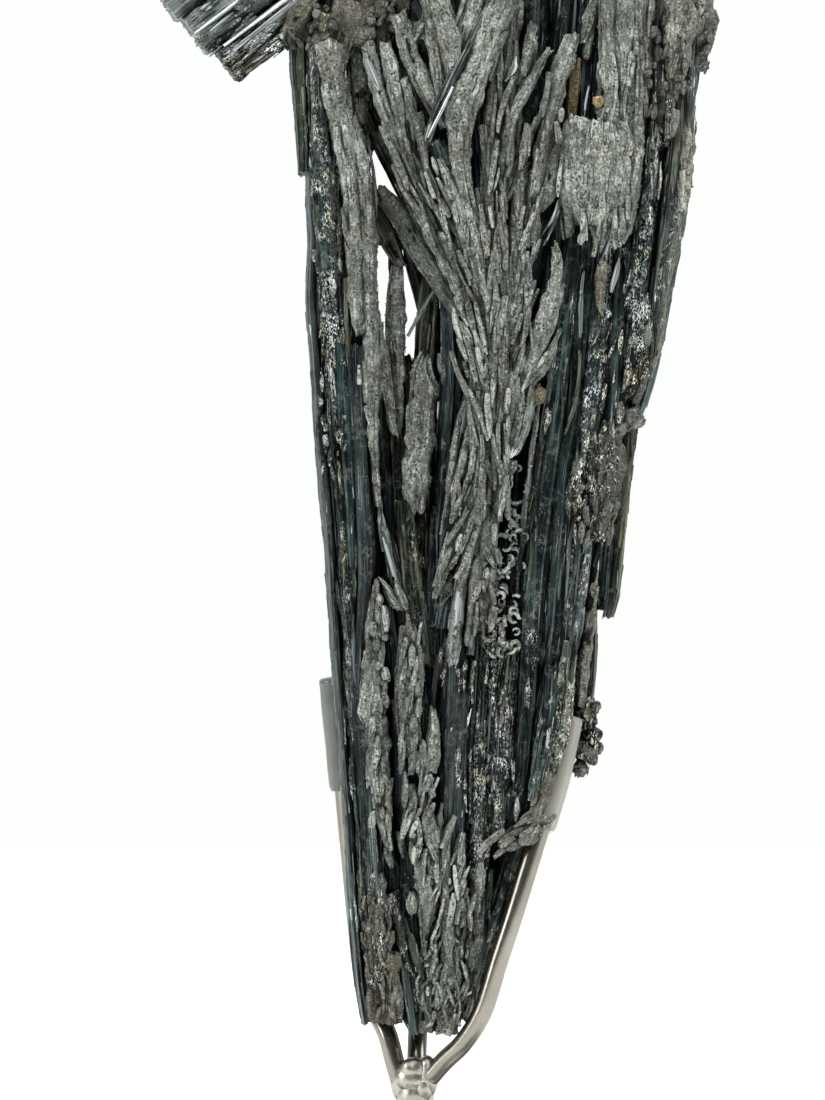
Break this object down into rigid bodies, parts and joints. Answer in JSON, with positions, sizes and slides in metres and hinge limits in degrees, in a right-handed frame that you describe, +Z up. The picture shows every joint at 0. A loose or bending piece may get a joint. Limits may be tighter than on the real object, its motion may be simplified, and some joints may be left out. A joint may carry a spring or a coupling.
{
  "type": "stibnite crystal cluster on stand",
  "caption": "Upright cluster of intergrown, striated metallic crystals with grey coated needles, gripped by a three-prong steel stand with a round foot.",
  "frame": {"origin": "middle of the round foot's underside, on the surface it stands on", "axes": "+Z up along the post, +X towards the side the crystals lean to, -Y towards the display side"},
  "size_m": [0.1696, 0.16, 0.4591],
  "materials": {
    "stibnite": "dark blue-grey metallic, striated, partly under a dull grey coat",
    "stainless_rod": "drawn stainless rod, semi-bright",
    "weld_metal": "bright lumpy weld bead",
    "brushed_base": "brushed stainless steel",
    "clear_vinyl": "clear to whitish soft vinyl tube"
  },
  "bodies": {
    "root": {"crystal_cluster": "stibnite", "left_prong": "stainless_rod", "right_prong": "stainless_rod", "back_prong": "stainless_rod", "left_sleeve": "clear_vinyl", "right_sleeve": "clear_vinyl", "back_sleeve": "clear_vinyl", "weld_knot": "weld_metal", "post": "stainless_rod", "base_plate": "brushed_base"}
  },
  "joints": []
}
